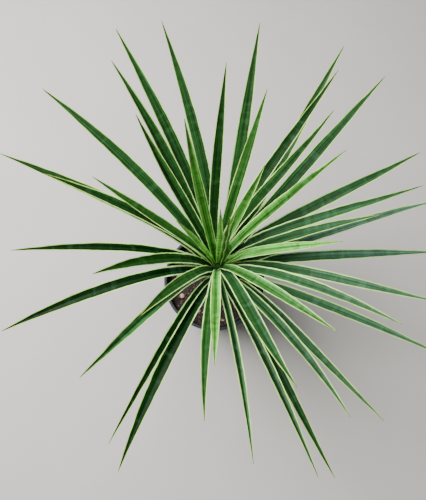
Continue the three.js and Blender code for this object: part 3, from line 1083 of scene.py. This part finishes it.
STEM_HOLE = STEM_RADIUS + 0.35 * MM
MIX_GAP = 0.3 * MM
MIX_FOOT_GAP = 0.8 * MM
MIX_SIDES = 224
MIX_RINGS = 84
MIX_LEVEL = SOIL_HIGH.z - 4 * MM
CHIP_SEED = 7
CHIP_CORNERS = 11
CHIP_LEAST = 1.3 * MM
CHIP_SPREAD = 7.0 * MM
PALE_CHIPS = 0.06
PALE_CHIP = Vector((22 * MM, -109 * MM, 0))
PALE_CHIP_SIZE = (6.5 * MM, 3.2 * MM, 1.4 * MM)
STRAW_SEED = 11
PALE_STRAWS = 0.55
STRAW_RINGS = 9


def soil_height(packed, x, y):
    """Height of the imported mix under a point."""
    above = Vector((x, y, SOIL_HIGH.z + 50 * MM))
    hit = packed.ray_cast(above, Vector((0, 0, -1)))[0]
    return hit.z if hit else MIX_LEVEL


def make_mix(settings, packed):
    """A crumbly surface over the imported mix, closed down its side, underneath and at the stem."""
    edge = SOIL_HIGH.x - MIX_GAP
    points, tones = [], []
    for ring in range(MIX_RINGS + 1):
        share = ring / MIX_RINGS
        radius = STEM_HOLE * (1 - share) + edge * share
        for x, y, _ in circle(radius, 0.0, MIX_SIDES, STEM_X * (1 - share)):
            spot = Vector((x, y, 0))
            crumb = noise.fractal(spot * 170, 0.7, 2.2, 5)
            lump = noise.noise(spot * 45)
            z = soil_height(packed, x, y) + settings.relief * (0.55 * crumb + 0.5 * lump)
            points.append((x, y, z))
            tones.append((crumb, lump, 0.0))

    floor = SOIL_LOW.z
    hole_floor = STEM_LOW.z - MIX_GAP
    foot_start = len(points)
    points += circle(wall_radius(floor) - POT_WALL - MIX_FOOT_GAP, floor, MIX_SIDES)
    hole_start = len(points)
    points += circle(STEM_HOLE, hole_floor, MIX_SIDES, STEM_X)
    hole_middle, foot_middle = len(points), len(points) + 1
    points += [(STEM_X, 0, hole_floor), (0, 0, floor)]
    tones += [(0, 0, 0)] * (len(points) - len(tones))
    faces = turned_round(ring_faces(MIX_RINGS + 2, MIX_SIDES))
    for i in range(MIX_SIDES):
        j = (i + 1) % MIX_SIDES
        faces.append((hole_start + j, hole_start + i, i, j))
        faces.append((hole_middle, hole_start + i, hole_start + j))
        faces.append((foot_middle, foot_start + j, foot_start + i))
    piece = mesh_object("potting_mix", points, faces)
    store(piece, "crumb", tones)
    return piece


def lump_of(chance, size):
    """A small convex, angular lump with three unequal half sizes."""
    shape = bmesh.new()
    for _ in range(CHIP_CORNERS):
        spot = Vector((chance.gauss(0, 1), chance.gauss(0, 1), chance.gauss(0, 1))).normalized()
        shape.verts.new((spot.x * size[0], spot.y * size[1], spot.z * size[2]))
    hull = bmesh.ops.convex_hull(shape, input=shape.verts)
    loose = [v for v in hull["geom_interior"] if isinstance(v, bmesh.types.BMVert)]
    bmesh.ops.delete(shape, geom=loose, context="VERTS")
    shape.verts.index_update()
    points = [v.co.copy() for v in shape.verts]
    faces = [[v.index for v in f.verts] for f in shape.faces]
    shape.free()
    return points, faces


def spot_on_mix(chance, packed, margin):
    """A random place on the mix, clear of the stem and of the wall."""
    reach = SOIL_HIGH.x
    while True:
        x = chance.uniform(-1, 1) * reach
        y = chance.uniform(-1, 1) * reach
        near_wall = math.hypot(x, y) > reach - margin
        near_stem = math.hypot(x - STEM_X, y) < STEM_RADIUS + margin
        if not near_wall and not near_stem:
            return Vector((x, y, soil_height(packed, x, y)))


def make_chips(settings, packed):
    """Chips and crumbs of bark scattered over the mix, in one mesh. One pale chip has its own place."""
    chance = random.Random(CHIP_SEED)
    points, faces, tones = [], [], []
    for index in range(settings.chips):
        length = CHIP_LEAST + CHIP_SPREAD * chance.random() ** 3.2
        size = (length, length * chance.uniform(0.4, 0.8), length * chance.uniform(0.16, 0.4))
        spot = spot_on_mix(chance, packed, length + 1 * MM)
        pale = chance.random() < PALE_CHIPS
        if index == 0:
            size = PALE_CHIP_SIZE
            spot = Vector((PALE_CHIP.x, PALE_CHIP.y, soil_height(packed, PALE_CHIP.x, PALE_CHIP.y)))
            pale = True
        lump, lump_faces = lump_of(chance, size)
        turn = Matrix.Rotation(chance.uniform(0, 6.3), 3, "Z")
        turn = turn @ Matrix.Rotation(chance.gauss(0, 0.3), 3, "X")
        lift = Vector((0, 0, size[2] * chance.uniform(0.3, 0.9) + 0.6 * MM))
        join(points, faces, [turn @ p + spot + lift for p in lump], lump_faces)
        tones += [(chance.random(), 1.0 if pale else 0.0, chance.random())] * len(lump)
    piece = mesh_object("bark_chips", points, faces, smooth=False)
    store(piece, "chip", tones)
    return piece


def make_straws(settings, packed):
    """Thin roots and straws that lie on the mix, as bent three-sided rods."""
    chance = random.Random(STRAW_SEED)
    points, faces, tones = [], [], []
    last = 3 * (STRAW_RINGS - 1)
    rod_faces = ring_faces(STRAW_RINGS, 3) + [(2, 1, 0), (last, last + 1, last + 2)]
    for _ in range(settings.fibres):
        length = chance.uniform(10, 34) * MM
        spot = spot_on_mix(chance, packed, 0.5 * length + 3 * MM)
        heading = chance.uniform(0, 6.3)
        bend = chance.gauss(0, 0.7)
        radius = chance.uniform(0.25, 0.6) * MM
        rod = []
        x, y = spot.x, spot.y
        for ring in range(STRAW_RINGS):
            share = ring / STRAW_RINGS
            heading += bend / STRAW_RINGS
            x += math.cos(heading) * length / STRAW_RINGS
            y += math.sin(heading) * length / STRAW_RINGS
            z = soil_height(packed, x, y) + (1.3 + 0.8 * math.sin(3.1 * share)) * MM
            thin = radius * (1 - 0.6 * share)
            for corner in range(3):
                out = thin * math.cos(2.1 * corner)
                up = thin * math.sin(2.1 * corner)
                rod.append((x - math.sin(heading) * out, y + math.cos(heading) * out, z + up))
        join(points, faces, rod, rod_faces)
        hue = chance.random()
        pale = 1.0 if chance.random() < PALE_STRAWS else 0.0
        tone = (hue, pale, chance.random())
        tones += [tone] * len(rod)
    piece = mesh_object("straws", points, faces)
    store(piece, "chip", tones)
    return piece


def mix_material(settings):
    """Dark damp crumbs with reddish flecks, and painted shade in the hollows between them."""
    material, tree = new_material("damp bark mix")
    crumb, lump, _ = parts_of(tree, "crumb")
    place = place_in_piece(tree)
    # Painted shade: the hollows between the crumbs are made darker
    raised = between(tree, crumb, -0.4, 0.7)
    colour = blend(tree, raised, settings.damp_colour, settings.colour)
    flecks = between(tree, grain(tree, place, 420.0, 3.0, 0.7), 0.60, 0.68)
    colour = blend(tree, times(tree, flecks, 0.7), colour, settings.bark_colour)
    colour = mottled(tree, colour, 60.0, 0.4)
    relief = bump(tree, grain(tree, place, 700.0, 5.0, 0.7), 0.9, 1.2 * MM)
    finish_surface(tree, colour, between(tree, lump, -0.6, 0.6, 0.62, 0.95), relief)
    return material


def chip_material(settings):
    """Rough bark, from the dark of the mix to reddish, and some of it bleached."""
    material, tree = new_material("bark chips")
    hue, pale, seed = parts_of(tree, "chip")
    bark = blend(tree, between(tree, hue, 0.2, 1.0), settings.colour, settings.bark_colour)
    colour = mottled(tree, blend(tree, pale, bark, settings.straw_colour), 260.0, 0.4)
    relief = bump(tree, grain(tree, place_in_piece(tree), 1300.0, 4.0, 0.7), 0.8, 0.5 * MM)
    finish_surface(tree, colour, between(tree, seed, 0.0, 1.0, 0.6, 0.95), relief)
    return material


class YUCCA_OT_mix(bpy.types.Operator):
    """Fills the pot with crumbly mix, bark chips and straws"""
    bl_idname = "yucca.mix"
    bl_label = "Potting mix"

    def execute(self, context):
        settings = context.scene.yucca_soil
        packed = surface_of("soil")
        dress(make_mix(settings, packed), mix_material(settings), "soil", "soil")
        chips = chip_material(settings)
        dress(make_chips(settings, packed), chips, "soil")
        dress(make_straws(settings, packed), chips, "soil")
        return {"FINISHED"}


# Pebble

def make_pebble():
    """A worn stone with a few flats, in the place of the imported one."""
    low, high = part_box("pebble")
    centre, half = (low + high) / 2, (high - low) / 2
    shape = bmesh.new()
    bmesh.ops.create_icosphere(shape, subdivisions=5, radius=1.0)
    for vert in shape.verts:
        spot = vert.co.copy()
        worn = 1 - 0.10 * noise.noise(spot * 1.4) - 0.03 * noise.noise(spot * 4)
        vert.co = centre + Vector((spot.x * half.x, spot.y * half.y, spot.z * half.z)) * 0.96 * worn
    mesh = bpy.data.meshes.new("tan_pebble")
    shape.to_mesh(mesh)
    shape.free()
    mesh.shade_smooth()
    return placed("tan_pebble", mesh)


def pebble_material(settings):
    """Dull tan stone with dark flecks."""
    material, tree = new_material("tan stone")
    place = place_in_piece(tree)
    colour = mottled(tree, settings.pebble_colour, 190.0, 0.35)
    dark = between(tree, grain(tree, place, 700.0, 3.0), 0.58, 0.66, 0.0, 0.6)
    colour = blend(tree, dark, colour, settings.fleck_colour)
    finish_surface(tree, colour, 0.68, bump(tree, grain(tree, place, 1500.0, 4.0), 0.5, 0.3 * MM))
    return material


class YUCCA_OT_pebble(bpy.types.Operator):
    """Lays the tan stone on the mix"""
    bl_idname = "yucca.pebble"
    bl_label = "Pebble"

    def execute(self, context):
        settings = context.scene.yucca_soil
        dress(make_pebble(), pebble_material(settings), "pebble", "pebble")
        return {"FINISHED"}


# Stage

CAMERA_PLACE = Vector((-0.0034, -0.2488, 1.4065))
CAMERA_TILT = math.radians(16)
CAMERA_LENS = 30.67
CAMERA_NEAR = 0.01
FLOOR_REACH = 6.0
FLOOR_SIDES = 96

# Each soft light: its place, the point that it is turned to, its width and its colour
SOFTBOXES = {
    "key": (Vector((-1.8, 0.8, 2.1)), Vector((0, 0, 0.45)), 2.5, (1.0, 0.99, 0.97)),
    "overhead": (Vector((-0.7, 0.3, 2.9)), Vector((0, 0, 0.4)), 1.8, (1.0, 0.99, 0.96)),
}


def add_camera():
    """A camera over the plant, tilted a little from straight down."""
    camera = placed("camera", bpy.data.cameras.new("camera"))
    camera.location = CAMERA_PLACE
    camera.rotation_euler = (CAMERA_TILT, 0, 0)
    camera.data.lens = CAMERA_LENS
    camera.data.clip_start = CAMERA_NEAR
    bpy.context.scene.camera = camera


def add_softbox(name, power):
    """A large round light turned to the plant."""
    place, target, size, colour = SOFTBOXES[name]
    light = bpy.data.lights.new(name, "AREA")
    light.shape = "DISK"
    light.size = size
    light.energy = power
    light.color = colour
    lamp = placed(name, light)
    lamp.location = place
    lamp.rotation_euler = (target - place).to_track_quat("-Z", "Y").to_euler()


def pale_surround(settings):
    """A plain world that lights the plant softly and looks brighter than its light."""
    surround = bpy.data.worlds.new("pale surround")
    surround.use_nodes = True
    tree = surround.node_tree
    light = {"Color": settings.sky_colour, "Strength": settings.sky_strength}
    sight = {"Color": settings.sky_colour, "Strength": settings.backdrop}
    lit = add(tree, "ShaderNodeBackground", light).outputs["Background"]
    seen = add(tree, "ShaderNodeBackground", sight).outputs["Background"]
    straight = add(tree, "ShaderNodeLightPath").outputs["Is Camera Ray"]
    mixed = add(tree, "ShaderNodeMixShader", {0: straight, 1: lit, 2: seen}).outputs["Shader"]
    plug(tree, tree.nodes["World Output"].inputs["Surface"], mixed)
    tree.nodes.remove(tree.nodes["Background"])
    return surround


def floor_material(settings):
    """A plain matt floor."""
    material, tree = new_material("plain floor")
    finish_surface(tree, mottled(tree, settings.floor_colour, 3.0, 0.02), 0.9)
    return material


class YUCCA_OT_stage(bpy.types.Operator):
    """Sets the camera, the soft lights and the plain floor"""
    bl_idname = "yucca.stage"
    bl_label = "Stage"

    def execute(self, context):
        settings = context.scene.yucca_stage
        add_camera()
        add_softbox("key", settings.key_power)
        add_softbox("overhead", settings.overhead_power)
        context.scene.world = pale_surround(settings)
        floor = mesh_object("floor", *turned_shell([(FLOOR_REACH, 0), (0, 0)], FLOOR_SIDES))
        floor.data.materials.append(floor_material(settings))
        return {"FINISHED"}


class YUCCA_PT_panel(bpy.types.Panel):
    """Lists the settings and the steps of the potted yucca"""
    bl_idname = "YUCCA_PT_panel"
    bl_label = "Potted yucca"
    bl_space_type = "VIEW_3D"
    bl_region_type = "UI"
    bl_category = "Yucca"

    def draw(self, context):
        for name in SETTINGS:
            box = self.layout.box()
            group = getattr(context.scene, name)
            for key in group.bl_rna.properties.keys():
                if key not in {"rna_type", "name"}:
                    box.prop(group, key)
        for operator in OPERATORS:
            self.layout.operator(operator.bl_idname)


SETTINGS = {
    "yucca_leaves": YuccaLeafSettings,
    "yucca_pot": YuccaPotSettings,
    "yucca_soil": YuccaSoilSettings,
    "yucca_stem": YuccaStemSettings,
    "yucca_stage": YuccaStageSettings,
}
OPERATORS = (
    YUCCA_OT_stage,
    YUCCA_OT_pot,
    YUCCA_OT_mix,
    YUCCA_OT_pebble,
    YUCCA_OT_stem,
    YUCCA_OT_blades,
)


def register():
    """Makes the settings, the operators and the panel known to Blender."""
    for name, group in SETTINGS.items():
        bpy.utils.register_class(group)
        setattr(bpy.types.Scene, name, bpy.props.PointerProperty(type=group))
    for operator in OPERATORS:
        bpy.utils.register_class(operator)
    bpy.utils.register_class(YUCCA_PT_panel)


def unregister():
    """Takes them all away again."""
    bpy.utils.unregister_class(YUCCA_PT_panel)
    for operator in reversed(OPERATORS):
        bpy.utils.unregister_class(operator)
    for name, group in SETTINGS.items():
        delattr(bpy.types.Scene, name)
        bpy.utils.unregister_class(group)


def main():
    """Builds every piece in order."""
    register()
    bpy.ops.yucca.stage()
    bpy.ops.yucca.pot()
    bpy.ops.yucca.mix()
    bpy.ops.yucca.pebble()
    bpy.ops.yucca.stem()
    bpy.ops.yucca.blades()


if __name__ == "__main__":
    main()
